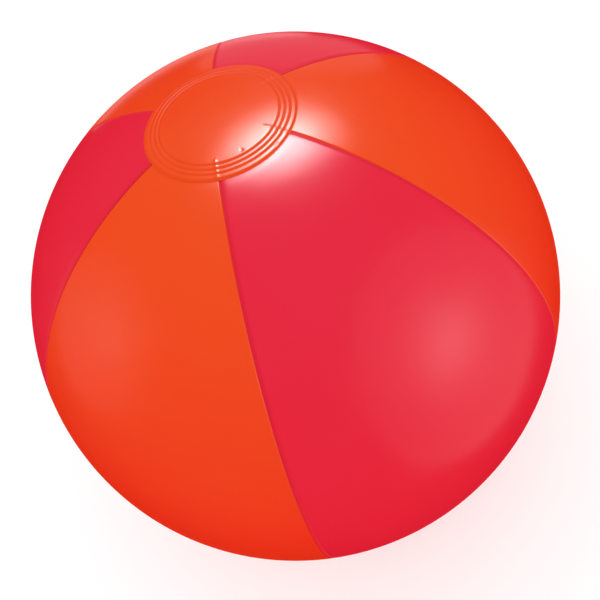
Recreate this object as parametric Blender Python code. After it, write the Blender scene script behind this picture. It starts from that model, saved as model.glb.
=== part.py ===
"""Inflatable beach ball: six welded film panels, two end discs and a push-in inflation valve.

The origin is the ball's centre and +Z runs through the two poles, where the end discs are. A red
panel faces -Y. The valve sits on the equator of the orange panel that faces +Y, with its axis along +Y.
"""

import math

import bmesh
import bpy

# Driving dimensions, in metres and degrees.
BALL_RADIUS = 0.1325         # outer face of the inflated film
FILM = 0.0003                # thickness of the PVC film
GAP = 0.0003                 # clearance between neighbouring pieces
PANEL_COUNT = 6
PANEL_COLUMNS = 8            # film facets across a panel
PANEL_ROWS = 18              # film facets along a panel between the two end discs, an even number

LAP_WIDTH = 0.004            # how far an orange panel's edge runs under its red neighbour
LAP_DEPTH = FILM + 0.0005    # how far that edge steps inwards
JOGGLE = 0.0008              # width of the step

DISC_RADIUS = 0.0265
DISC_FILM = 0.0004
DISC_FLAT_RADIUS = 0.0085    # flat middle of the disc
POLE_HOLE_RADIUS = 0.017     # round hole that the panels' ends leave under the disc
DISC_SEGMENTS = 48

VALVE_HOLE_RADIUS = 0.011
FLANGE_RADIUS = 0.017
FLANGE_THICKNESS = 0.0006
FLANGE_DEPTH = FILM + 0.0010  # its clearance under the film also takes up the film's flat facets
SKIRT_THICKNESS = 0.0005

# Heights on the valve's axis are counted outwards from the ball's surface.
LIP_TOP = -0.0030
LIP_RADIUS = 0.0066
LIP_HEIGHT = 0.0012
STEM_RADIUS = 0.0052
STEM_BOTTOM = -0.0190
BORE_RADIUS = 0.0038
SKIRT_TOP = -0.0016
SKIRT_BOTTOM = -0.0090

PLUG_HEAD_RADIUS = 0.0064
PLUG_HEAD_HEIGHT = 0.0014
STOPPER_LENGTH = 0.0042
STOPPER_TIP_RADIUS = 0.0026
TAB_WIDTH = 0.0050
TAB_REACH = 0.0090           # from the plug's axis to the end of its pull tab
TAB_THICKNESS = 0.0008

STRAP_WIDTH = 0.0040
STRAP_RADIUS = 0.0009        # outer radius of the strap's half hoop
STRAP_THICKNESS = 0.0004
STRAP_CENTRE_OFFSET = 0.0070  # from the valve's axis to the middle of the half hoop
FLAP_RADIUS = 0.0050
FLAP_THICKNESS = 0.0005
VALVE_SEGMENTS = 32

SHARP_ANGLE = math.radians(40.0)
MERGE_DISTANCE = 1e-6

PANELS = (
    ("panel_red_front", "red"),
    ("panel_orange_right", "orange"),
    ("panel_red_back_right", "red"),
    ("panel_orange_back", "orange"),
    ("panel_red_back_left", "red"),
    ("panel_orange_left", "orange"),
)

# Principled base colour, roughness and metallic value.
FINISHES = {
    "orange": ((0.87, 0.068, 0.013, 1.0), 0.22, 0.0),
    "red": ((0.78, 0.016, 0.040, 1.0), 0.22, 0.0),
    "valve": ((0.82, 0.80, 0.74, 1.0), 0.35, 0.0),
}


def clear_scene():
    for item in list(bpy.data.objects):
        bpy.data.objects.remove(item, do_unlink=True)


def finish_for(name, finish):
    """A new Principled material for one piece."""
    colour, roughness, metallic = FINISHES[finish]
    material = bpy.data.materials.new(name)
    material.use_nodes = True
    shader = material.node_tree.nodes["Principled BSDF"]
    shader.inputs["Base Color"].default_value = colour
    shader.inputs["Roughness"].default_value = roughness
    shader.inputs["Metallic"].default_value = metallic
    return material


def add_piece(name, shape, finish=None, parent=None, location=(0.0, 0.0, 0.0)):
    """Turn a bmesh into an object, with its finish where it is a visible piece."""
    bmesh.ops.recalc_face_normals(shape, faces=shape.faces)
    mesh = bpy.data.meshes.new(name)
    shape.to_mesh(mesh)
    shape.free()
    mesh.shade_smooth()
    mesh.set_sharp_from_angle(angle=SHARP_ANGLE)
    piece = bpy.data.objects.new(name, mesh)
    bpy.context.scene.collection.objects.link(piece)
    piece.parent = parent
    piece.location = location
    if finish is None:
        piece.hide_render = True
        piece.display_type = "WIRE"
    else:
        mesh.materials.append(finish_for(name, finish))
    return piece


def add_empty(name, parent=None, location=(0.0, 0.0, 0.0), rotation=(0.0, 0.0, 0.0)):
    empty = bpy.data.objects.new(name, None)
    bpy.context.scene.collection.objects.link(empty)
    empty.parent = parent
    empty.location = location
    empty.rotation_euler = rotation
    return empty


def add_boolean(piece, operand, operation):
    modifier = piece.modifiers.new(operation.title(), "BOOLEAN")
    modifier.operation = operation
    modifier.solver = "EXACT"
    modifier.object = operand


def turned(outline, segments):
    """A solid turned about Z from (radius, height) points.

    An outline that begins on the axis also ends on it. Any other outline is closed into a ring.
    """
    shape = bmesh.new()
    points = [shape.verts.new((radius, 0.0, height)) for radius, height in outline]
    pairs = list(zip(points, points[1:]))
    if outline[0][0] > 0.0:
        pairs.append((points[-1], points[0]))
    edges = [shape.edges.new(pair) for pair in pairs]
    bmesh.ops.spin(shape, geom=points + edges, cent=(0, 0, 0), axis=(0, 0, 1), angle=math.tau,
                   steps=segments, use_merge=True)
    bmesh.ops.remove_doubles(shape, verts=shape.verts, dist=MERGE_DISTANCE)
    return shape


def prism(corners, offset):
    """A prism between a flat polygon of corners and its copy at the given offset."""
    shape = bmesh.new()
    base = shape.faces.new([shape.verts.new(corner) for corner in corners])
    result = bmesh.ops.extrude_face_region(shape, geom=[base])
    moved = [item for item in result["geom"] if isinstance(item, bmesh.types.BMVert)]
    bmesh.ops.translate(shape, verts=moved, vec=offset)
    return shape


def on_ball(polar, longitude, depth):
    """A point below the ball's surface, by its angle from +Z and its angle about Z from +X."""
    radius = BALL_RADIUS - depth
    across = radius * math.sin(polar)
    return across * math.cos(longitude), across * math.sin(longitude), radius * math.cos(polar)


def row_angles():
    """Polar angles of a panel's rows: the holes at its ends, the discs' rims and even steps between."""
    hole = math.asin(POLE_HOLE_RADIUS / BALL_RADIUS)
    rim = math.asin(DISC_RADIUS / BALL_RADIUS)
    step = (math.pi - 2.0 * rim) / PANEL_ROWS
    return [hole] + [rim + step * row for row in range(PANEL_ROWS + 1)] + [math.pi - hole]


def column_places(lapped):
    """Columns of a panel as (share of its half width, shift along the surface, depth)."""
    inner = [(2.0 * column / PANEL_COLUMNS - 1.0, 0.0, 0.0) for column in range(1, PANEL_COLUMNS)]
    if lapped:
        left_edge = [
            (-1.0, -LAP_WIDTH, LAP_DEPTH),
            (-1.0, GAP / 2.0, LAP_DEPTH),
            (-1.0, GAP / 2.0 + JOGGLE, 0.0),
        ]
    else:
        left_edge = [(-1.0, GAP / 2.0, 0.0)]
    right_edge = [(-share, -shift, depth) for share, shift, depth in reversed(left_edge)]
    return left_edge + inner + right_edge


def panel_shape(facing, lapped):
    """A gore of film whose middle faces the given angle about Z."""
    half_width = math.pi / PANEL_COUNT
    grid = []
    for polar in row_angles():
        row_radius = BALL_RADIUS * math.sin(polar)
        grid.append([
            (polar, facing + share * half_width + shift / row_radius, depth)
            for share, shift, depth in column_places(lapped)
        ])
    shape = bmesh.new()
    outer = [[shape.verts.new(on_ball(*place)) for place in row] for row in grid]
    inner = [
        [shape.verts.new(on_ball(polar, longitude, depth + FILM)) for polar, longitude, depth in row]
        for row in grid
    ]
    last_row = len(grid) - 1
    last_column = len(grid[0]) - 1
    for layer in (outer, inner):
        for row in range(last_row):
            for column in range(last_column):
                shape.faces.new((layer[row][column], layer[row][column + 1],
                                 layer[row + 1][column + 1], layer[row + 1][column]))
    border = [(0, column) for column in range(last_column)]
    border += [(row, last_column) for row in range(last_row)]
    border += [(last_row, column) for column in range(last_column, 0, -1)]
    border += [(row, 0) for row in range(last_row, 0, -1)]
    for (row, column), (next_row, next_column) in zip(border, border[1:] + border[:1]):
        shape.faces.new((outer[row][column], outer[next_row][next_column],
                         inner[next_row][next_column], inner[row][column]))
    return shape


def build_panels():
    """The six gores, in turn about Z. The orange ones run under the red ones at every seam."""
    pieces = {}
    for number, (name, finish) in enumerate(PANELS):
        facing = math.tau * number / PANEL_COUNT - math.pi / 2.0
        pieces[name] = add_piece(name, panel_shape(facing, finish == "orange"), finish)
    return pieces


def disc_shape():
    """The cap over the panels' ends at the top pole, flat in the middle."""
    lower = BALL_RADIUS + GAP
    upper = lower + DISC_FILM
    angles = [math.asin(radius / BALL_RADIUS) for radius in (DISC_FLAT_RADIUS, POLE_HOLE_RADIUS, DISC_RADIUS)]
    outline = [(0.0, upper * math.cos(angles[0]))]
    outline += [(upper * math.sin(angle), upper * math.cos(angle)) for angle in angles]
    outline += [(lower * math.sin(angle), lower * math.cos(angle)) for angle in reversed(angles)]
    outline.append((0.0, lower * math.cos(angles[0])))
    return turned(outline, DISC_SEGMENTS)


def build_end_discs():
    add_piece("end_disc_top", disc_shape(), "orange")
    bottom = add_piece("end_disc_bottom", disc_shape(), "orange")
    bottom.rotation_euler = (math.pi, 0.0, 0.0)


def cut_valve_hole(panel, valve_axis):
    """The round hole in the film that the valve passes through."""
    reach = VALVE_HOLE_RADIUS
    outline = [(0.0, reach), (VALVE_HOLE_RADIUS, reach), (VALVE_HOLE_RADIUS, -reach), (0.0, -reach)]
    cutter = add_piece("valve_hole_cutter", turned(outline, DISC_SEGMENTS), parent=valve_axis)
    add_boolean(panel, cutter, "DIFFERENCE")


def build_flange(valve_axis):
    """The ring welded to the inside of the film around the hole."""
    steps = 3
    width = FLANGE_RADIUS - VALVE_HOLE_RADIUS
    radii = [VALVE_HOLE_RADIUS + width * step / steps for step in range(steps + 1)]
    top = BALL_RADIUS - FLANGE_DEPTH
    outline = [(radius, math.sqrt(top ** 2 - radius ** 2) - BALL_RADIUS) for radius in radii]
    outline += [(radius, height - FLANGE_THICKNESS) for radius, height in reversed(outline)]
    add_piece("valve_flange", turned(outline, VALVE_SEGMENTS), "valve", valve_axis)


def build_skirt(valve_axis):
    """The thin cone between the flange and the stem, which turns inside out as the valve is pulled."""
    wide = VALVE_HOLE_RADIUS - GAP
    narrow = STEM_RADIUS + GAP
    outline = [
        (wide, SKIRT_TOP),
        (narrow, SKIRT_BOTTOM),
        (narrow, SKIRT_BOTTOM - SKIRT_THICKNESS),
        (wide, SKIRT_TOP - SKIRT_THICKNESS),
    ]
    add_piece("valve_skirt", turned(outline, VALVE_SEGMENTS), "valve", valve_axis)


def build_stem(valve_axis):
    """The tube with a lip that carries the plug."""
    outline = [
        (BORE_RADIUS, LIP_TOP),
        (LIP_RADIUS, LIP_TOP),
        (LIP_RADIUS, LIP_TOP - LIP_HEIGHT),
        (STEM_RADIUS, LIP_TOP - LIP_HEIGHT),
        (STEM_RADIUS, STEM_BOTTOM),
        (BORE_RADIUS, STEM_BOTTOM),
    ]
    add_piece("valve_stem", turned(outline, VALVE_SEGMENTS), "valve", valve_axis)


def tab_shape(middle_height):
    """The pull tab, a flat tongue with a round end on the side away from the strap."""
    half_width = TAB_WIDTH / 2.0
    root = PLUG_HEAD_RADIUS / 2.0
    bottom = middle_height - TAB_THICKNESS / 2.0
    steps = 8
    turns = [math.pi * step / steps for step in range(steps + 1)]
    corners = [(half_width * math.cos(turn), TAB_REACH - half_width + half_width * math.sin(turn), bottom)
               for turn in turns]
    corners += [(-half_width, root, bottom), (half_width, root, bottom)]
    return prism(corners, (0.0, 0.0, TAB_THICKNESS))


def build_plug(valve_axis):
    """The stopper with its head and pull tab, swinging on the strap's bend."""
    hinge_offset = STRAP_CENTRE_OFFSET + STRAP_RADIUS
    hinge = add_empty("plug_hinge", valve_axis, (0.0, -hinge_offset, LIP_TOP))
    bottom = GAP
    top = bottom + PLUG_HEAD_HEIGHT
    outline = [
        (0.0, top),
        (PLUG_HEAD_RADIUS, top),
        (PLUG_HEAD_RADIUS, bottom),
        (BORE_RADIUS - GAP, bottom),
        (STOPPER_TIP_RADIUS, bottom - STOPPER_LENGTH),
        (0.0, bottom - STOPPER_LENGTH),
    ]
    place = (0.0, hinge_offset, 0.0)
    plug = add_piece("valve_plug", turned(outline, VALVE_SEGMENTS), "valve", hinge, place)
    tab = add_piece("pull_tab_shape", tab_shape((bottom + top) / 2.0), parent=hinge, location=place)
    add_boolean(plug, tab, "UNION")


def hoop_arc(radius):
    """Corners along one side of the strap's half hoop, from the lip round to the plug's head."""
    steps = 8
    turns = [math.pi * step / steps - math.pi / 2.0 for step in range(steps + 1)]
    side = -STRAP_WIDTH / 2.0
    return [
        (side, -STRAP_CENTRE_OFFSET - radius * math.cos(turn), LIP_TOP + radius * math.sin(turn))
        for turn in turns
    ]


def build_strap(valve_axis):
    """The half hoop that ties the plug's head to the stem's lip, on the valve's upper side."""
    corners = hoop_arc(STRAP_RADIUS) + hoop_arc(STRAP_RADIUS - STRAP_THICKNESS)[::-1]
    add_piece("plug_strap", prism(corners, (STRAP_WIDTH, 0.0, 0.0)), "valve", valve_axis)


def build_flap(valve_axis):
    """The flap that closes the stem's inner end, hanging from its upper edge."""
    hinge = add_empty("flap_hinge", valve_axis, (0.0, -FLAP_RADIUS, STEM_BOTTOM - GAP))
    outline = [(0.0, 0.0), (FLAP_RADIUS, 0.0), (FLAP_RADIUS, -FLAP_THICKNESS), (0.0, -FLAP_THICKNESS)]
    add_piece("check_flap", turned(outline, VALVE_SEGMENTS), "valve", hinge, (0.0, FLAP_RADIUS, 0.0))


def build_valve(panel):
    """The valve, built outwards along the local Z of an empty that turns it to +Y."""
    valve_axis = add_empty("valve_axis", None, (0.0, BALL_RADIUS, 0.0), (-math.pi / 2.0, 0.0, 0.0))
    cut_valve_hole(panel, valve_axis)
    build_flange(valve_axis)
    build_skirt(valve_axis)
    build_stem(valve_axis)
    build_plug(valve_axis)
    build_strap(valve_axis)
    build_flap(valve_axis)


def main():
    clear_scene()
    panels = build_panels()
    build_end_discs()
    build_valve(panels["panel_orange_back"])


main()
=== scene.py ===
import math

import bpy
import numpy as np
from mathutils import Matrix, Vector


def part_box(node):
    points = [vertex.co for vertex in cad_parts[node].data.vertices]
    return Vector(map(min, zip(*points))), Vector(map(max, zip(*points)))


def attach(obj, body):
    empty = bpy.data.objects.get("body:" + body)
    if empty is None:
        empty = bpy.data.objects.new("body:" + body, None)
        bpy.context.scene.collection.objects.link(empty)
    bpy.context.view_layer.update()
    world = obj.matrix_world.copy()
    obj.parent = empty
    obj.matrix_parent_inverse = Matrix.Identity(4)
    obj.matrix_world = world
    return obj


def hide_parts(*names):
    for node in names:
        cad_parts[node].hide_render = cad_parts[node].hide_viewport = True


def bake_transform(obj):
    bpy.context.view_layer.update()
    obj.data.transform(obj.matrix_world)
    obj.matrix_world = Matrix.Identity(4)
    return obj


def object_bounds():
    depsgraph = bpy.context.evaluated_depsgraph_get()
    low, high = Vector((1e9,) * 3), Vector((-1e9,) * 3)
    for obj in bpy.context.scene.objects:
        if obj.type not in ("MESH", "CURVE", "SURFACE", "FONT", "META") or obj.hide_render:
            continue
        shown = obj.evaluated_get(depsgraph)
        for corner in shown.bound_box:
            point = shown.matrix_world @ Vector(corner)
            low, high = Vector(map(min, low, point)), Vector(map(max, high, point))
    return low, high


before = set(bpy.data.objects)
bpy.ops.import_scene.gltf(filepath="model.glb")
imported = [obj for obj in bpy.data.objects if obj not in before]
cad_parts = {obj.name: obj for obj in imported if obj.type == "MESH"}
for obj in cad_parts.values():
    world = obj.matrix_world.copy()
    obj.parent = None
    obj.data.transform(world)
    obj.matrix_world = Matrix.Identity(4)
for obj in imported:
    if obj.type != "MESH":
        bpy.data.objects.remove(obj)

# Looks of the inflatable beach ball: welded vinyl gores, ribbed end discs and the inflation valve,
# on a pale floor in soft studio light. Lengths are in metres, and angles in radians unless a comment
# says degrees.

cad_low, cad_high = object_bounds()

# ---- Sizes taken from the frame -------------------------------------------------------------------------

BALL_RADIUS = (cad_high.x - cad_low.x) / 2.0
FLOOR_GAP = 0.0004
FLOOR_HEIGHT = cad_low.z - FLOOR_GAP


def node_radius(node):
    """Half of a turned CAD node's width across X."""
    low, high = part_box(node)
    return (high[0] - low[0]) / 2.0


def node_span(node):
    """Where a CAD node starts and ends along +Y, counted outwards from the ball's surface."""
    low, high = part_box(node)
    return low[1] - BALL_RADIUS, high[1] - BALL_RADIUS


DISC_RADIUS = node_radius("end_disc_top")
FLANGE_RADIUS = node_radius("valve_flange")
LIP_RADIUS = node_radius("valve_stem")
HEAD_RADIUS = node_radius("valve_plug")
FLAP_RADIUS = node_radius("check_flap")
STEM_BOTTOM, LIP_TOP = node_span("valve_stem")
PLUG_BOTTOM, PLUG_TOP = node_span("valve_plug")
SKIRT_BOTTOM, SKIRT_TOP = node_span("valve_skirt")
STRAP_BOTTOM, STRAP_TOP = node_span("plug_strap")
FLAP_BOTTOM, FLAP_TOP = node_span("check_flap")
STRAP_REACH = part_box("plug_strap")[1][2]
TAB_REACH = -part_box("valve_plug")[0][2]

# ---- Sizes of the visible detail ------------------------------------------------------------------------

FILM = 0.00018               # vinyl film
CONTACT = 0.00004            # gap between films that are welded together
SEAM_COUNT = 6
LAP_WIDTH = 0.0040           # orange film under the red film's edge
JOGGLE = 0.0005              # how quickly the orange film dives under the red
VALLEY_WIDTH = 0.0013        # the pressed strip along a red edge, which slopes down to the seam
VALLEY_DEPTH = 0.00013
BROW_DEPTH = 0.00003         # a soft dip where that strip starts
BROW_WIDTH = 0.0004
POLE_HOLE_RADIUS = 0.0170    # what the panels' ends leave open under a disc

RIPPLE_HEIGHT = 0.000005     # puckers that the weld's shrinkage leaves along a seam
RIPPLE_REACH = 0.0035
RIPPLE_LENGTHS = (0.0083, 0.0131)

DISC_FILM = 0.00032
DISC_OFFSET = Vector((0.0008, -0.0010))  # the disc was welded on slightly off the pole
FIRST_GROOVE = 0.00235       # from the disc's edge to its outermost groove
GROOVE_PITCH = 0.00172
GROOVE_COUNT = 3
GROOVE_WIDTH = 0.00033
GROOVE_DEPTH = 0.00017
EDGE_WIDTH = 0.0010          # the weld that squeezes the disc's edge thin
EDGE_FILM = 0.00007
MOAT_DEPTH = 0.00005         # how far the disc's edge is pressed into the gores
MOAT_WIDTH = 0.0022

VALVE_HOLE_RADIUS = 0.0110
VALVE_RISE = 0.00034         # how far the film stands up over the flange
VALVE_RING_COUNT = 3         # rings that the flange's weld presses into the film
VALVE_RING_DEPTH = 0.00026
FLANGE_FILM = 0.0006
FLANGE_BOTTOM = -0.0011      # where the skirt leaves the flange
SKIRT_FILM = 0.0004
BORE_RADIUS = 0.0038
STEM_RADIUS = 0.0052
MOULD_ROUNDING = 0.0004      # of the valve's moulded edges
PLUG_BASE = LIP_TOP + 0.0003  # underside of the plug's head
STRAP_FILM = 0.0004

# ---- Distances between vertices -------------------------------------------------------------------------

RIM_STEP = 0.0003            # in the gores under and next to a disc's ribs
RIM_MARGIN = 0.0042          # how far past the disc's edge that holds
GORE_STEP = 0.0025           # down the rest of a gore
GORE_COLUMNS = 45
VALVE_STEP = 0.00043         # round the valve
VALVE_MARGIN = 0.002         # how far past the flange that holds
BESIDE_VALVE = 0.045         # across the rest of the gore, as a share of its half width
DISC_MIDDLE_STEP = 0.0012
DISC_STEP = 0.0006
RIB_STEP = 0.00012
DISC_SEGMENTS = 480
HOLE_SEGMENTS = 128
VALVE_SEGMENTS = 96
CREASE_ANGLE = math.radians(50.0)


# ---- Mesh helpers ---------------------------------------------------------------------------------------

def smoothstep(low, high, value):
    share = np.clip((value - low) / (high - low), 0.0, 1.0)
    return share * share * (3.0 - 2.0 * share)


def bump(value, centre, width):
    """A rounded bump of height 1 around the centre."""
    return np.exp(-((value - centre) / width) ** 2)


def grid_quads(rows, columns, wrap):
    """Quads of a grid of vertices, seen from the side where rows run down and columns run right."""
    index = np.arange(rows * columns).reshape(rows, columns)
    if wrap:
        index = np.hstack((index, index[:, :1]))
    return np.stack((index[:-1, :-1], index[1:, :-1], index[1:, 1:], index[:-1, 1:]), axis=-1).reshape(-1, 4)


def make_object(name, vertices, faces, weld=None, matrix=None):
    """A smooth object from vertices and faces; weld says from 0 to 1 where the film was pressed by a weld.

    Faces that a weld pressed get the object's second material.
    """
    mesh = bpy.data.meshes.new(name)
    mesh.from_pydata([tuple(v) for v in vertices.tolist()], [], faces)
    if matrix is not None:
        mesh.transform(matrix)
    if weld is not None:
        weld = np.asarray(weld).ravel()
        pressed = [int(weld[list(face)].mean() > 0.5) for face in faces]
        mesh.polygons.foreach_set("material_index", pressed)
    mesh.shade_smooth()
    mesh.set_sharp_from_angle(angle=CREASE_ANGLE)
    thing = bpy.data.objects.new(name, mesh)
    bpy.context.scene.collection.objects.link(thing)
    return thing


def make_sheet(name, outer, inner, weld):
    """A closed sheet of film between two grids of points, with walls along its four edges."""
    rows, columns = outer.shape[:2]
    count = rows * columns
    front = grid_quads(rows, columns, False)
    back = front[:, ::-1] + count
    index = np.arange(count).reshape(rows, columns)
    border = np.concatenate((index[0, :-1], index[:-1, -1], index[-1, :0:-1], index[:0:-1, 0]))
    following = np.roll(border, -1)
    walls = np.stack((border, following, following + count, border + count), axis=-1)
    faces = np.concatenate((front, back, walls)).tolist()
    vertices = np.concatenate((outer.reshape(-1, 3), inner.reshape(-1, 3)))
    return make_object(name, vertices, faces, np.concatenate((weld.ravel(), weld.ravel())))


def make_turned(name, outline, segments, lift=None, weld=None, matrix=None):
    """A solid turned about Z from (radius, height) points that run down its outer side.

    An outline from axis to axis is capped there, any other is closed into a ring. lift adds a height to
    every vertex, as a grid of outline points by segments.
    """
    outline = np.asarray(outline, dtype=float)
    capped = outline[0, 0] == 0.0
    body = outline[1:-1] if capped else outline
    turn = np.arange(segments) * math.tau / segments
    radius = body[:, :1] + np.zeros_like(turn)
    height = body[:, 1:] + (lift if lift is not None else 0.0) + np.zeros_like(turn)
    vertices = np.stack((radius * np.cos(turn), radius * np.sin(turn), height), axis=-1).reshape(-1, 3)
    count = len(body)
    faces = grid_quads(count, segments, True).tolist()
    last = (count - 1) * segments
    following = [(step + 1) % segments for step in range(segments)]
    if capped:
        top, bottom = len(vertices), len(vertices) + 1
        mean = height.mean(axis=1)
        vertices = np.vstack((vertices, (0.0, 0.0, mean[0]), (0.0, 0.0, mean[-1])))
        faces += [(top, step, following[step]) for step in range(segments)]
        faces += [(bottom, last + following[step], last + step) for step in range(segments)]
    else:
        faces += [(last + step, step, following[step], last + following[step]) for step in range(segments)]
    if weld is not None:
        weld = np.broadcast_to(weld, (count, segments)).ravel()
        weld = np.concatenate((weld, np.zeros(len(vertices) - len(weld))))
    return make_object(name, vertices, faces, weld, matrix)


def rounded(points, radius):
    """The outline with its inner corners rounded by the given radius."""
    steps = 4
    result = [points[0]]
    for before, corner, after in zip(points, points[1:], points[2:]):
        corner = Vector(corner)
        to_before, to_after = Vector(before) - corner, Vector(after) - corner
        reach = min(radius, to_before.length * 0.45, to_after.length * 0.45)
        start = corner + to_before.normalized() * reach
        end = corner + to_after.normalized() * reach
        for step in range(steps + 1):
            share = step / steps
            result.append(tuple(start.lerp(corner, share).lerp(corner.lerp(end, share), share)))
    result.append(points[-1])
    return result


def rounded_ring(points, radius):
    """A closed outline with all its corners rounded."""
    return rounded([points[-1], *points, points[0]], radius)[1:-1]


# ---- Materials ------------------------------------------------------------------------------------------

# Each colour is a pair: the film's deep colour, and a paler one towards the poles. The paler one is painted
# light that stands in for light falling on the ball's upper parts.
ORANGE = ((0.810, 0.025, 0.0045, 1.0), (0.820, 0.072, 0.0068, 1.0))
RED = ((0.740, 0.0095, 0.028, 1.0), (0.740, 0.0150, 0.045, 1.0))
MILKY = ((0.80, 0.78, 0.72, 1.0), (0.86, 0.84, 0.79, 1.0))
PAINTED_LIGHT_START = 0.35     # where the painted light starts to pale the film, as a share of the way up from the ball's middle
PAINTED_LIGHT_SHARE = 0.92     # how far the painted light pales the film at the poles
WELD_SHADE = 0.90
SHEEN = 0.9
SHEEN_ROUGHNESS = 0.53
SHEEN_SHADE = 1.2


class Nodes:
    """A material's node tree, with short calls for the nodes used here."""

    def __init__(self, name):
        self.material = bpy.data.materials.new(name)
        self.material.use_nodes = True
        self.tree = self.material.node_tree
        self.shader = self.tree.nodes["Principled BSDF"]
        self.place = self.add("ShaderNodeTexCoord").outputs["Object"]

    def add(self, kind):
        return self.tree.nodes.new(kind)

    def link(self, start, end):
        self.tree.links.new(start, end)

    def noise(self, size, detail):
        """Noise between about 0.3 and 0.7, with features of the given size."""
        node = self.add("ShaderNodeTexNoise")
        node.inputs["Scale"].default_value = 1.0 / size
        node.inputs["Detail"].default_value = detail
        self.link(self.place, node.inputs["Vector"])
        return node.outputs["Fac"]

    def height(self):
        """Height above the ball's middle."""
        node = self.add("ShaderNodeSeparateXYZ")
        self.link(self.place, node.inputs["Vector"])
        return node.outputs["Z"]

    def remap(self, value, low, high, new_low, new_high):
        """The value on a new scale. It isn't clamped, because a clamp's edge would show in the gloss."""
        node = self.add("ShaderNodeMapRange")
        node.clamp = False
        self.link(value, node.inputs["Value"])
        limits = {"From Min": low, "From Max": high, "To Min": new_low, "To Max": new_high}
        for socket, number in limits.items():
            node.inputs[socket].default_value = number
        return node.outputs["Result"]

    def spread(self, size, detail, low, high):
        """Noise on a scale from about low to about high."""
        return self.remap(self.noise(size, detail), 0.3, 0.7, low, high)

    def math(self, operation, first, second):
        node = self.add("ShaderNodeMath")
        node.operation = operation
        for socket, value in zip(node.inputs, (first, second)):
            if isinstance(value, (int, float)):
                socket.default_value = value
            else:
                self.link(value, socket)
        return node.outputs["Value"]

    def mix(self, share, first, second):
        """Colours mixed by a share from 0 to 1."""
        node = self.add("ShaderNodeMix")
        node.data_type = "RGBA"
        self.link(share, node.inputs["Factor"])
        node.inputs[6].default_value = first
        node.inputs[7].default_value = second
        return node.outputs[2]

    def bump(self, height, distance, normal=None):
        node = self.add("ShaderNodeBump")
        node.inputs["Distance"].default_value = distance
        self.link(height, node.inputs["Height"])
        if normal is not None:
            self.link(normal, node.inputs["Normal"])
        return node.outputs["Normal"]


def shade(colour, factor):
    """The colour made lighter or darker."""
    return tuple(channel * factor for channel in colour[:3]) + (1.0,)


def film_body(nodes, deep, painted_pale):
    """The film's colour: faintly cloudy, and paler towards the poles, where painted light stands in for
    light falling on the ball's upper parts.
    """
    height = nodes.math("ABSOLUTE", nodes.height(), 0.0)
    cloud = nodes.spread(0.055, 3.0, -0.08, 0.08)
    # Painted light: the film pales towards both poles as if lit from above.
    painted_light = nodes.remap(height, PAINTED_LIGHT_START * BALL_RADIUS, BALL_RADIUS, 0.0, PAINTED_LIGHT_SHARE)
    cloud_and_painted_light = nodes.math("ADD", painted_light, cloud)
    nodes.link(nodes.mix(cloud_and_painted_light, deep, painted_pale), nodes.shader.inputs["Base Color"])
    nodes.shader.inputs["Sheen Weight"].default_value = SHEEN
    nodes.shader.inputs["Sheen Roughness"].default_value = SHEEN_ROUGHNESS
    nodes.shader.inputs["Sheen Tint"].default_value = shade(deep, SHEEN_SHADE)


def film_material(name, deep, painted_pale):
    """Glossy calendered vinyl with a softly uneven gloss."""
    nodes = Nodes(name)
    film_body(nodes, deep, painted_pale)
    nodes.link(nodes.spread(0.018, 3.0, 0.20, 0.23), nodes.shader.inputs["Roughness"])
    nodes.shader.inputs["Specular IOR Level"].default_value = 0.25
    slow = nodes.bump(nodes.noise(0.012, 1.0), 0.00006)
    fine = nodes.bump(nodes.noise(0.0011, 2.0), 0.000004, slow)
    nodes.link(fine, nodes.shader.inputs["Normal"])
    return nodes.material


def weld_material(name, deep, painted_pale):
    """The same vinyl where a weld pressed it: a little deeper, and dull from the tool's fine texture."""
    nodes = Nodes(name)
    film_body(nodes, shade(deep, WELD_SHADE), shade(painted_pale, WELD_SHADE))
    nodes.link(nodes.spread(0.0008, 2.0, 0.40, 0.50), nodes.shader.inputs["Roughness"])
    nodes.shader.inputs["Specular IOR Level"].default_value = 0.03
    nodes.link(nodes.bump(nodes.noise(0.0004, 2.0), 0.00002), nodes.shader.inputs["Normal"])
    return nodes.material


def valve_material():
    """Soft milky vinyl, slightly translucent, with a moulded satin surface."""
    nodes = Nodes("milky_vinyl")
    cloud = nodes.spread(0.006, 3.0, 0.0, 1.0)
    nodes.link(nodes.mix(cloud, *MILKY), nodes.shader.inputs["Base Color"])
    nodes.link(nodes.spread(0.002, 3.0, 0.32, 0.42), nodes.shader.inputs["Roughness"])
    nodes.shader.inputs["Subsurface Weight"].default_value = 0.35
    nodes.shader.inputs["Subsurface Radius"].default_value = (0.9, 0.8, 0.6)
    nodes.shader.inputs["Subsurface Scale"].default_value = 0.0015
    nodes.link(nodes.bump(nodes.noise(0.0005, 2.0), 0.000008), nodes.shader.inputs["Normal"])
    return nodes.material


films = {
    "orange": (film_material("orange_vinyl", *ORANGE), weld_material("orange_weld", *ORANGE)),
    "red": (film_material("red_vinyl", *RED), weld_material("red_weld", *RED)),
}
milky_vinyl = valve_material()


# ---- Gores ----------------------------------------------------------------------------------------------

PANELS = (
    ("panel_red_front", "red"),
    ("panel_orange_right", "orange"),
    ("panel_red_back_right", "red"),
    ("panel_orange_back", "orange"),
    ("panel_red_back_left", "red"),
    ("panel_orange_left", "orange"),
)
PANEL_HALF_WIDTH = math.pi / SEAM_COUNT
FIRST_FACING = -math.pi / 2.0


def even_steps(start, end, step):
    """Numbers from start up to but without end, about a step apart."""
    return np.linspace(start, end, max(2, round((end - start) / step) + 1))[:-1]


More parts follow.
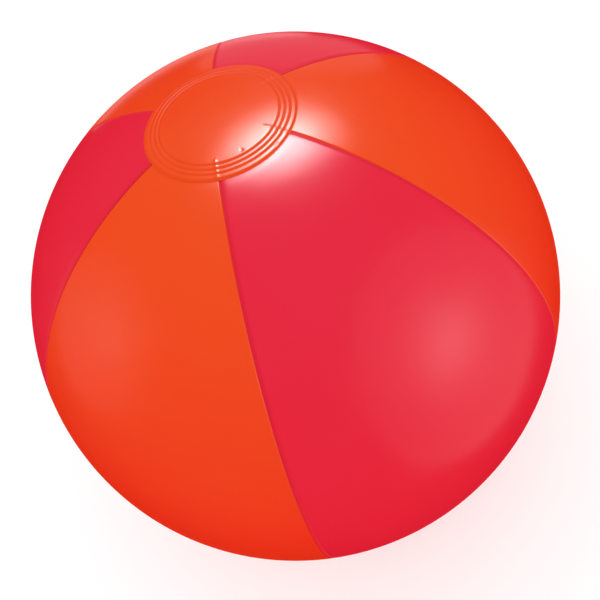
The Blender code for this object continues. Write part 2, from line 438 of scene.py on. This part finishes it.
def panel_rows(with_valve):
    """Polar angles of a gore's rows: close together by the discs' rims, and round the valve."""
    hole = math.asin(POLE_HOLE_RADIUS / BALL_RADIUS) * BALL_RADIUS
    rim = math.asin(DISC_RADIUS / BALL_RADIUS) * BALL_RADIUS
    middle = math.pi * BALL_RADIUS / 2.0
    near_rim = rim + RIM_MARGIN
    half = [even_steps(hole, near_rim, RIM_STEP)]
    if with_valve:
        near_valve = middle - FLANGE_RADIUS - VALVE_MARGIN
        half += [even_steps(near_rim, near_valve, GORE_STEP), even_steps(near_valve, middle, VALVE_STEP)]
    else:
        half += [even_steps(near_rim, middle, GORE_STEP)]
    arc = np.concatenate(half)
    return np.concatenate((arc, [middle], 2.0 * middle - arc[::-1])) / BALL_RADIUS


# Columns along a gore's edge, by their distance inside the seam. A lap's columns lie outside it.
MILLIMETRE = 0.001
EDGE_COLUMNS = MILLIMETRE * np.array((0.0, 0.05, 0.12, 0.22, 0.34, 0.48, 0.64, 0.8, 0.96, 1.1, 1.22, 1.34,
                                      1.5, 1.8, 2.3, 3.0))
LAP_COLUMNS = np.array((-LAP_WIDTH, -LAP_WIDTH / 2.0, -0.0008, -0.0003))


def panel_columns(rows, lapped, with_valve):
    """Where a gore's columns run: the angle from its middle, and the distance inside its edge.

    Both are grids of rows by columns.
    """
    width = BALL_RADIUS * np.sin(rows)[:, None]
    edge = np.concatenate((LAP_COLUMNS, EDGE_COLUMNS)) if lapped else EDGE_COLUMNS
    left = -PANEL_HALF_WIDTH + edge[None, :] / width
    if with_valve:
        half_width = PANEL_HALF_WIDTH * BALL_RADIUS
        patch = (FLANGE_RADIUS + VALVE_MARGIN) / half_width
        beside = even_steps(-1.0, -patch, BESIDE_VALVE)
        shares = np.concatenate((beside, even_steps(-patch, 0.0, VALVE_STEP / half_width)))[1:]
        shares = np.concatenate((shares, [0.0], -shares[::-1]))
    else:
        shares = np.linspace(-1.0, 1.0, GORE_COLUMNS)[1:-1]
    inner = shares[None, :] * -left[:, -1:]
    angle = np.hstack((left, inner, -left[:, ::-1]))
    distance = (PANEL_HALF_WIDTH - np.abs(angle)) * width
    return angle, distance


def disc_relief(inwards):
    """Depth that the disc's weld presses into it and the gores below, and its weld mark.

    inwards is the distance inside the disc's edge. The edge sinks into a shallow moat, and the grooves run
    inside it.
    """
    seat = 1.0 - smoothstep(0.0, MOAT_WIDTH, np.abs(inwards))
    grooves = sum(bump(inwards, FIRST_GROOVE + GROOVE_PITCH * number, GROOVE_WIDTH)
                  for number in range(GROOVE_COUNT))
    edge = np.where(inwards > 0.0, 1.0 - smoothstep(0.6 * EDGE_WIDTH, EDGE_WIDTH, inwards), 0.0)
    return MOAT_DEPTH * seat + GROOVE_DEPTH * grooves, np.clip(edge + grooves, 0.0, 1.0)


def moat(rows, longitude):
    """Depth of the gores below and round the discs' edges, which are slightly off the poles."""
    across = BALL_RADIUS * np.sin(rows)[:, None]
    side = np.sign(np.cos(rows))[:, None]
    x = across * np.cos(longitude) - side * DISC_OFFSET.x
    y = across * np.sin(longitude) - DISC_OFFSET.y
    return disc_relief(DISC_RADIUS - np.hypot(x, y))[0]


def seam_ripple(rows, distance, facing):
    """Faint puckers that the weld's shrinkage leaves along a seam."""
    arc = rows[:, None] * BALL_RADIUS * math.tau
    short, long = RIPPLE_LENGTHS
    waves = np.sin(arc / short + facing * 5.0) + 0.7 * np.sin(arc / long + facing)
    return RIPPLE_HEIGHT * waves * np.exp(-np.abs(distance) / RIPPLE_REACH)


def red_relief(distance):
    """Depth and weld mark across a red gore, whose edge slopes down to the seam and lies on top there."""
    slope = np.clip(1.0 - distance / VALLEY_WIDTH, 0.0, 1.0)
    brow = BROW_DEPTH * bump(distance, VALLEY_WIDTH, BROW_WIDTH)
    return VALLEY_DEPTH * slope + brow, slope > 0.03


def orange_relief(distance):
    """Depth and weld mark across an orange gore, whose edge dives under the red one."""
    under = VALLEY_DEPTH * np.clip(1.0 - np.abs(distance) / VALLEY_WIDTH, 0.0, 1.0) + FILM + CONTACT
    rise = smoothstep(0.0, JOGGLE, distance)
    depth = np.where(distance < 0.0, under, (VALLEY_DEPTH + FILM + CONTACT) * (1.0 - rise))
    return depth, distance < 0.4 * JOGGLE


def valve_relief(rows, angle):
    """Height of the film over the flange, with the rings that its weld pressed."""
    along = (rows[:, None] - math.pi / 2.0) * BALL_RADIUS
    across = angle * BALL_RADIUS
    reach = np.hypot(along, across)
    step = 0.0004
    band = smoothstep(VALVE_HOLE_RADIUS - 0.001, VALVE_HOLE_RADIUS + step, reach)
    band *= 1.0 - smoothstep(FLANGE_RADIUS - step, FLANGE_RADIUS + step, reach)
    pitch = (FLANGE_RADIUS - VALVE_HOLE_RADIUS) / VALVE_RING_COUNT
    rings = 0.5 - 0.5 * np.cos((reach - VALVE_HOLE_RADIUS) * math.tau / pitch)
    return band * (VALVE_RISE - VALVE_RING_DEPTH * rings)


def build_panel(number, name, kind):
    """One gore of film, as a closed sheet with its laps and weld relief."""
    facing = FIRST_FACING + math.tau * number / SEAM_COUNT
    lapped = kind == "orange"
    with_valve = name == "panel_orange_back"
    rows = panel_rows(with_valve)
    angle, distance = panel_columns(rows, lapped, with_valve)
    depth, weld = orange_relief(distance) if lapped else red_relief(distance)
    depth = depth + moat(rows, facing + angle) + seam_ripple(rows, distance, facing)
    if with_valve:
        depth = depth - valve_relief(rows, angle)
    outer = on_ball(rows[:, None], facing + angle, depth)
    inner = on_ball(rows[:, None], facing + angle, depth + FILM)
    panel = make_sheet(name + "_film", outer, inner, weld)
    for film in films[kind]:
        panel.data.materials.append(film)
    if with_valve:
        cut_hole(panel)
    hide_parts(name)
    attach(panel, "ball")


def on_ball(polar, longitude, depth):
    """Points below the ball's surface, by angle from +Z, angle about Z from +X, and depth."""
    radius = BALL_RADIUS - depth
    across = radius * np.sin(polar)
    height = radius * np.cos(polar) + np.zeros_like(longitude)
    return np.stack((across * np.cos(longitude), across * np.sin(longitude), height), axis=-1)


def cut_hole(panel):
    """Cut the valve's round hole through the film."""
    reach = 0.008
    outline = ((0.0, reach), (VALVE_HOLE_RADIUS, reach), (VALVE_HOLE_RADIUS, -reach), (0.0, -reach))
    cutter = make_turned("valve_hole", outline, HOLE_SEGMENTS, matrix=VALVE_FRAME)
    modifier = panel.modifiers.new("valve_hole", "BOOLEAN")
    modifier.operation = "DIFFERENCE"
    modifier.solver = "EXACT"
    modifier.object = cutter
    evaluated = panel.evaluated_get(bpy.context.evaluated_depsgraph_get())
    mesh = bpy.data.meshes.new_from_object(evaluated)
    panel.modifiers.clear()
    panel.data = mesh
    bpy.data.objects.remove(cutter)


# Turns a piece that was made along Z so that it points along +Y from the ball's surface.
VALVE_FRAME = Matrix.Translation((0.0, BALL_RADIUS, 0.0)) @ Matrix.Rotation(-math.pi / 2.0, 4, "X")

for number, (name, kind) in enumerate(PANELS):
    build_panel(number, name, kind)


# ---- End discs ------------------------------------------------------------------------------------------

def disc_radii():
    """Radii of the rings of vertices on a disc, close together in the ribbed band."""
    first, middle = 0.0006, 0.012
    band = DISC_RADIUS - FIRST_GROOVE - GROOVE_COUNT * GROOVE_PITCH
    return np.concatenate((even_steps(first, middle, DISC_MIDDLE_STEP), even_steps(middle, band, DISC_STEP),
                           even_steps(band, DISC_RADIUS, RIB_STEP), [DISC_RADIUS]))


# Where each seam shows through the disc: how far the ridge lies beside the seam, and its height.
RIDGES = (
    (-0.0009, 0.00013),
    (0.0002, 0.00007),
    (0.0003, 0.00005),
    (-0.0004, 0.00006),
    (0.0005, 0.00005),
    (-0.0004, 0.00015),
)
RIDGE_START = (0.0193, 0.0200)  # distances from the pole between which the ridges rise
RIDGE_WIDTH = 0.00045

# Flaws of the disc's weld: where each lies beside the pole, its width and its depth.
FLAWS = (
    ((-0.0020, -0.0201), 0.0004, 0.00022),  # a pinched speck inside the ribs
    ((0.0072, -0.0254), 0.0007, 0.00016),   # a dent where the edge weld's ends meet
)


def seam_ridges(x, y):
    """Height of the gores' doubled edges where they show through the disc's weld."""
    cover = smoothstep(*RIDGE_START, np.hypot(x, y))
    height = np.zeros_like(x)
    for number, (sideways, rise) in enumerate(RIDGES):
        seam = FIRST_FACING + PANEL_HALF_WIDTH + math.tau * number / SEAM_COUNT
        ahead = x * math.cos(seam) + y * math.sin(seam) > 0.0
        offset = y * math.cos(seam) - x * math.sin(seam) - sideways
        height += ahead * cover * rise * bump(offset, 0.0, RIDGE_WIDTH)
    return height


def weld_flaws(x, y):
    """Depth of the weld's flaws."""
    return sum(depth * bump(np.hypot(x - flaw_x, y - flaw_y), 0.0, width)
               for (flaw_x, flaw_y), width, depth in FLAWS)


def build_disc(name, node, matrix):
    """The round film over the gores' ends, with its weld grooves and the gores' edges showing through."""
    radius = disc_radii()
    longitude = np.arange(DISC_SEGMENTS) * math.tau / DISC_SEGMENTS
    x = radius[:, None] * np.cos(longitude) + DISC_OFFSET.x
    y = radius[:, None] * np.sin(longitude) + DISC_OFFSET.y
    depth, mark = disc_relief(DISC_RADIUS - radius)
    thickness = EDGE_FILM + (DISC_FILM - EDGE_FILM) * smoothstep(0.0, EDGE_WIDTH, DISC_RADIUS - radius)
    below = np.sqrt((BALL_RADIUS + CONTACT) ** 2 - x ** 2 - y ** 2) - depth[:, None] + seam_ridges(x, y)
    above = below + thickness[:, None] - weld_flaws(x, y)
    rings = np.concatenate((radius, radius[::-1]))
    outline = np.stack((rings, np.zeros_like(rings)), axis=-1)
    outline = np.vstack(((0.0, 0.0), outline, (0.0, 0.0)))
    mark = np.concatenate((mark, mark[::-1]))[:, None]
    shift = Matrix.Translation((DISC_OFFSET.x, DISC_OFFSET.y, 0.0))
    lift = np.vstack((above, below[::-1]))
    disc = make_turned(name, outline, DISC_SEGMENTS, lift, mark, matrix @ shift)
    for film in films["orange"]:
        disc.data.materials.append(film)
    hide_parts(node)
    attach(disc, "ball")


build_disc("end_disc_top_film", "end_disc_top", Matrix.Identity(4))
build_disc("end_disc_bottom_film", "end_disc_bottom", Matrix.Rotation(math.pi, 4, "Y"))


# ---- Valve ----------------------------------------------------------------------------------------------
# Outlines here are (radius, height) along the valve's axis, with heights counted from the ball's surface.

def finish_valve_piece(piece, body, *nodes):
    piece.data.materials.append(milky_vinyl)
    if nodes:
        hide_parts(*nodes)
    if body is not None:
        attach(piece, body)


def build_flange():
    """The ring under the film round the hole, a little narrower than the hole inside."""
    outer = [(radius, math.sqrt((BALL_RADIUS - FILM - CONTACT) ** 2 - radius ** 2) - BALL_RADIUS)
             for radius in np.linspace(VALVE_HOLE_RADIUS - 0.0004, FLANGE_RADIUS, 14)]
    lower = [(radius, height - FLANGE_FILM) for radius, height in outer[::-1]]
    ring = make_turned("valve_flange_ring", outer + lower, VALVE_SEGMENTS, matrix=VALVE_FRAME)
    finish_valve_piece(ring, "ball", "valve_flange")


def build_skirt():
    """The thin membrane from the flange down to the stem, with a soft roll at either end."""
    wide, narrow = VALVE_HOLE_RADIUS - 0.0003, STEM_RADIUS + 0.0001
    steps = 40
    upper = []
    for step in range(steps + 1):
        share = step / steps
        radius = wide + (narrow - wide) * (share + 0.06 * math.sin(math.tau * share))
        height = FLANGE_BOTTOM + (SKIRT_BOTTOM - FLANGE_BOTTOM) * share ** 1.25
        upper.append((radius, height))
    under = [(radius + 0.00012, height - SKIRT_FILM) for radius, height in upper]
    outline = under + upper[::-1]
    skirt = make_turned("valve_skirt_membrane", outline, VALVE_SEGMENTS, matrix=VALVE_FRAME)
    finish_valve_piece(skirt, None, "valve_skirt")
    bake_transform(skirt)


def build_stem():
    """The tube with its wide rounded lip and a slightly flared mouth."""
    points = [
        (BORE_RADIUS + 0.0004, LIP_TOP),
        (LIP_RADIUS, LIP_TOP),
        (LIP_RADIUS, LIP_TOP - 0.0012),
        (STEM_RADIUS, LIP_TOP - 0.0014),
        (STEM_RADIUS, STEM_BOTTOM + 0.0040),
        (STEM_RADIUS - 0.0003, STEM_BOTTOM),
        (BORE_RADIUS, STEM_BOTTOM),
        (BORE_RADIUS, LIP_TOP - 0.0006),
    ]
    outline = rounded_ring(points, MOULD_ROUNDING)
    stem = make_turned("valve_stem_tube", outline, VALVE_SEGMENTS, matrix=VALVE_FRAME)
    finish_valve_piece(stem, "valve", "valve_stem")


def build_plug():
    """The stopper with a dished head and a moulded rim."""
    rim = HEAD_RADIUS - 0.0012
    dish = PLUG_TOP - 0.0004
    points = [
        (0.0, dish),
        (rim - 0.0008, dish),
        (rim, PLUG_TOP),
        (HEAD_RADIUS, PLUG_TOP),
        (HEAD_RADIUS, PLUG_BASE),
        (BORE_RADIUS - 0.0003, PLUG_BASE),
        (BORE_RADIUS - 0.0003, PLUG_BASE - 0.0010),
        (BORE_RADIUS - 0.0002, PLUG_BASE - 0.0016),
        (BORE_RADIUS - 0.0006, PLUG_BASE - 0.0022),
        (BORE_RADIUS - 0.0012, PLUG_BOTTOM),
        (0.0, PLUG_BOTTOM),
    ]
    outline = rounded(points, MOULD_ROUNDING)
    plug = make_turned("valve_plug_stopper", outline, VALVE_SEGMENTS, matrix=VALVE_FRAME)
    finish_valve_piece(plug, "plug", "valve_plug")


def slab(name, outline, low, high, bevel):
    """A plate over a flat outline of (x, y) points between two heights, with rounded edges."""
    count = len(outline)
    vertices = np.array([(x, y, height) for height in (high, low) for x, y in outline])
    faces = [tuple(range(count)), tuple(range(2 * count - 1, count - 1, -1))]
    faces += [(step, step + count, (step + 1) % count + count, (step + 1) % count) for step in range(count)]
    plate = make_object(name, vertices, faces, matrix=VALVE_FRAME)
    rounding = plate.modifiers.new("edges", "BEVEL")
    rounding.width = bevel
    rounding.segments = 3
    rounding.limit_method = "ANGLE"
    return plate


def stadium(start, end, radius):
    """An outline with straight sides and round ends that runs along y from start to end."""
    steps = 14
    turns = [math.pi * step / steps for step in range(steps + 1)]
    far = [(radius * math.cos(turn), end - radius + radius * math.sin(turn)) for turn in turns]
    near = [(-radius * math.cos(turn), start + radius - radius * math.sin(turn)) for turn in turns]
    return far + near


def build_pull_tab():
    """The tab on the plug's lower side, with three grip bars across it."""
    middle = (PLUG_BASE + PLUG_TOP) / 2.0
    outline = stadium(0.0035, TAB_REACH, 0.0025)
    tab = slab("valve_plug_tab", outline, middle - 0.0004, middle + 0.0002, 0.00015)
    finish_valve_piece(tab, "plug")
    first, pitch, width, reach = HEAD_RADIUS + 0.0003, 0.00065, 0.0003, 0.0014
    for number in range(3):
        start = first + pitch * number
        end = start + width
        bar = [(-reach, start), (reach, start), (reach, end), (-reach, end)]
        grip = slab(f"valve_plug_grip_{number + 1}", bar, middle + 0.0001, middle + 0.00052, 0.0001)
        finish_valve_piece(grip, "plug")


def build_strap():
    """The thin strap that loops from the stem's lip up to the plug's head."""
    centre = (STRAP_TOP + STRAP_BOTTOM) / 2.0
    outer = (STRAP_TOP - STRAP_BOTTOM) / 2.0
    steps, columns = 28, 12
    turn = np.linspace(math.pi / 2.0, -math.pi / 2.0, steps + 1)[:, None]
    share = np.linspace(-1.0, 1.0, columns + 1)[None, :]
    half_width = 0.0019 - 0.0004 * np.cos(turn)
    root = STRAP_REACH - outer

    def layer(radius):
        x = share * half_width
        y = -root - radius * np.cos(turn) + 0.0 * share
        height = centre + radius * np.sin(turn) + 0.0 * share
        return np.stack((x, y, height), axis=-1)

    upper, lower = layer(outer), layer(outer - STRAP_FILM)
    # The hoop's feet run on flat into the lip and into the head.
    feet = np.array((0.0, 0.0008, 0.0))
    upper = np.concatenate((upper[:1] + feet, upper, upper[-1:] + feet))
    lower = np.concatenate((lower[:1] + feet, lower, lower[-1:] + feet))
    strap = make_sheet("plug_strap_loop", upper, lower, np.zeros(upper.shape[:2]))
    strap.data.transform(VALVE_FRAME)
    finish_valve_piece(strap, None, "plug_strap")
    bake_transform(strap)


def build_flap():
    """The thin flap under the stem, with a raised seat ring that presses on the bore's edge."""
    seat = BORE_RADIUS - 0.0008
    dip = 0.00015
    points = [
        (0.0, FLAP_TOP - dip),
        (seat - 0.0004, FLAP_TOP - dip),
        (seat, FLAP_TOP),
        (FLAP_RADIUS, FLAP_TOP),
        (FLAP_RADIUS, FLAP_BOTTOM),
        (0.0, FLAP_BOTTOM),
    ]
    outline = rounded(points, dip)
    flap = make_turned("check_flap_disc", outline, VALVE_SEGMENTS, matrix=VALVE_FRAME)
    finish_valve_piece(flap, "flap", "check_flap")


build_flange()
build_skirt()
build_stem()
build_plug()
build_pull_tab()
build_strap()
build_flap()


# ---- Floor, light and camera ----------------------------------------------------------------------------

CAMERA_AZIMUTH = math.radians(-15.9)
CAMERA_ELEVATION = math.radians(60.3)
CAMERA_ROLL = math.radians(24.4)
CAMERA_DISTANCE = 2.0 * BALL_RADIUS
SENSOR = 36.0                 # millimetres, as Blender counts a camera's sensor and lens
BALL_SHARE_OF_FRAME = 0.8827  # the ball's outline against the frame's width
CAMERA_SHIFT = (0.0075, -0.0065)


def camera_axes():
    """The camera's right, up and backward directions."""
    away = math.cos(CAMERA_ELEVATION)
    back = Vector((math.sin(CAMERA_AZIMUTH) * away, -math.cos(CAMERA_AZIMUTH) * away,
                   math.sin(CAMERA_ELEVATION)))
    level = Vector((math.cos(CAMERA_AZIMUTH), math.sin(CAMERA_AZIMUTH), 0.0))
    upright = back.cross(level)
    right = level * math.cos(CAMERA_ROLL) - upright * math.sin(CAMERA_ROLL)
    return right, back.cross(right), back


def add_camera():
    data = bpy.data.cameras.new("camera")
    camera = bpy.data.objects.new("camera", data)
    bpy.context.scene.collection.objects.link(camera)
    right, up, back = camera_axes()
    turn = Matrix((right, up, back)).transposed().to_4x4()
    camera.matrix_world = Matrix.Translation(back * CAMERA_DISTANCE) @ turn
    outline = BALL_RADIUS / math.sqrt(CAMERA_DISTANCE ** 2 - BALL_RADIUS ** 2)
    data.sensor_width = SENSOR
    data.lens = SENSOR * BALL_SHARE_OF_FRAME / 2.0 / outline
    data.shift_x, data.shift_y = CAMERA_SHIFT
    data.clip_start = 0.005
    data.clip_end = 50.0
    bpy.context.scene.camera = camera


SOFTBOX_DISTANCE = 0.9


def add_softbox(name, direction, long_side, size, radiance, target):
    """An oval softbox that faces the target and is seen only as a reflection.

    long_side is roughly where its width runs.
    """
    data = bpy.data.lights.new(name, "AREA")
    data.shape = "ELLIPSE"
    data.size, data.size_y = size
    area = size[0] * size[1] * math.pi / 4.0
    data.energy = radiance * math.pi * area
    light = bpy.data.objects.new(name, data)
    bpy.context.scene.collection.objects.link(light)
    away = Vector(direction).normalized()
    down = away.cross(Vector(long_side)).normalized()
    turn = Matrix((down.cross(away), down, away)).transposed().to_4x4()
    light.matrix_world = Matrix.Translation(Vector(target) + away * SOFTBOX_DISTANCE) @ turn
    light.visible_diffuse = False
    light.visible_camera = False


def add_soft_reflection(name, direction, long_side, spread, radiance, target, shares):
    """A reflection with a soft edge, from nested softboxes; spread is its half angles in degrees.

    Each pair in shares gives one softbox: its part of the spread, and its part of the radiance.
    """
    for number, (share, part) in enumerate(shares):
        size = [2.0 * SOFTBOX_DISTANCE * math.tan(math.radians(angle * share)) for angle in spread]
        add_softbox(f"{name}_{number + 1}", direction, long_side, size, radiance * part, target)


FLOOR_GREYS = ((0.90, 0.90, 0.90, 1.0), (0.92, 0.92, 0.92, 1.0))


def floor_material():
    nodes = Nodes("pale_floor")
    cloud = nodes.spread(0.4, 3.0, 0.0, 1.0)
    nodes.link(nodes.mix(cloud, *FLOOR_GREYS), nodes.shader.inputs["Base Color"])
    nodes.shader.inputs["Roughness"].default_value = 0.9
    nodes.shader.inputs["Specular IOR Level"].default_value = 0.1
    nodes.shader.inputs["Emission Color"].default_value = (1.0, 1.0, 1.0, 1.0)
    nodes.shader.inputs["Emission Strength"].default_value = 0.10
    return nodes.material


def add_floor():
    half = 4.0
    corners = np.array([(x, y, FLOOR_HEIGHT)
                        for x, y in ((-half, -half), (half, -half), (half, half), (-half, half))])
    floor = make_object("floor", corners, [(0, 1, 2, 3)])
    floor.data.materials.append(floor_material())
    floor.visible_glossy = False


def add_world():
    world = bpy.data.worlds.new("studio")
    world.use_nodes = True
    background = world.node_tree.nodes["Background"]
    background.inputs["Color"].default_value = (1.0, 1.0, 1.0, 1.0)
    background.inputs["Strength"].default_value = 1.1
    world.cycles_visibility.glossy = False
    bpy.context.scene.world = world


add_camera()
add_world()
add_floor()

# How a reflection fades towards its edge: pairs of a part of its spread and a part of its radiance.
SOFT_EDGE = ((1.0, 0.30), (0.80, 0.30), (0.60, 0.40))
HALO = ((1.35, 0.04), (1.0, 0.26), (0.82, 0.30), (0.60, 0.40))
WIDE_FADE = [(1.0 - 0.12 * step, (step + 1) / 36.0) for step in range(8)]
BROAD_FADE = ((1.0, 0.12), (0.82, 0.18), (0.64, 0.24), (0.46, 0.26), (0.28, 0.20))

# The main softbox stands high behind the ball's right side; its reflection falls across the disc's edge.
add_soft_reflection("main_softbox", (0.382, 0.385, 0.840), (0.925, -0.225, -0.318), (18.7, 10.4), 86.0,
                    (0.008, -0.027, 0.130), HALO)
add_soft_reflection("right_softbox", (0.46, -0.88, 0.04), (0.0, 0.0, 1.0), (46.0, 40.0), 19.0,
                    (0.018, -0.102, 0.083), WIDE_FADE)
add_soft_reflection("left_softbox", (-0.89, 0.40, 0.23), (0.0, 0.0, 1.0), (27.0, 24.0), 9.5,
                    (-0.075, -0.024, 0.107), WIDE_FADE)
add_soft_reflection("back_softbox", (0.60, 0.80, 0.04), (0.80, -0.60, 0.0), (22.0, 19.0), 3.3,
                    (0.040, 0.013, 0.125), BROAD_FADE)
add_soft_reflection("back_strip", (0.27, 0.91, -0.31), (0.96, -0.28, 0.0), (22.0, 7.0), 2.6,
                    (0.015, 0.052, 0.120), SOFT_EDGE)
bpy.context.scene.view_settings.view_transform = "Standard"
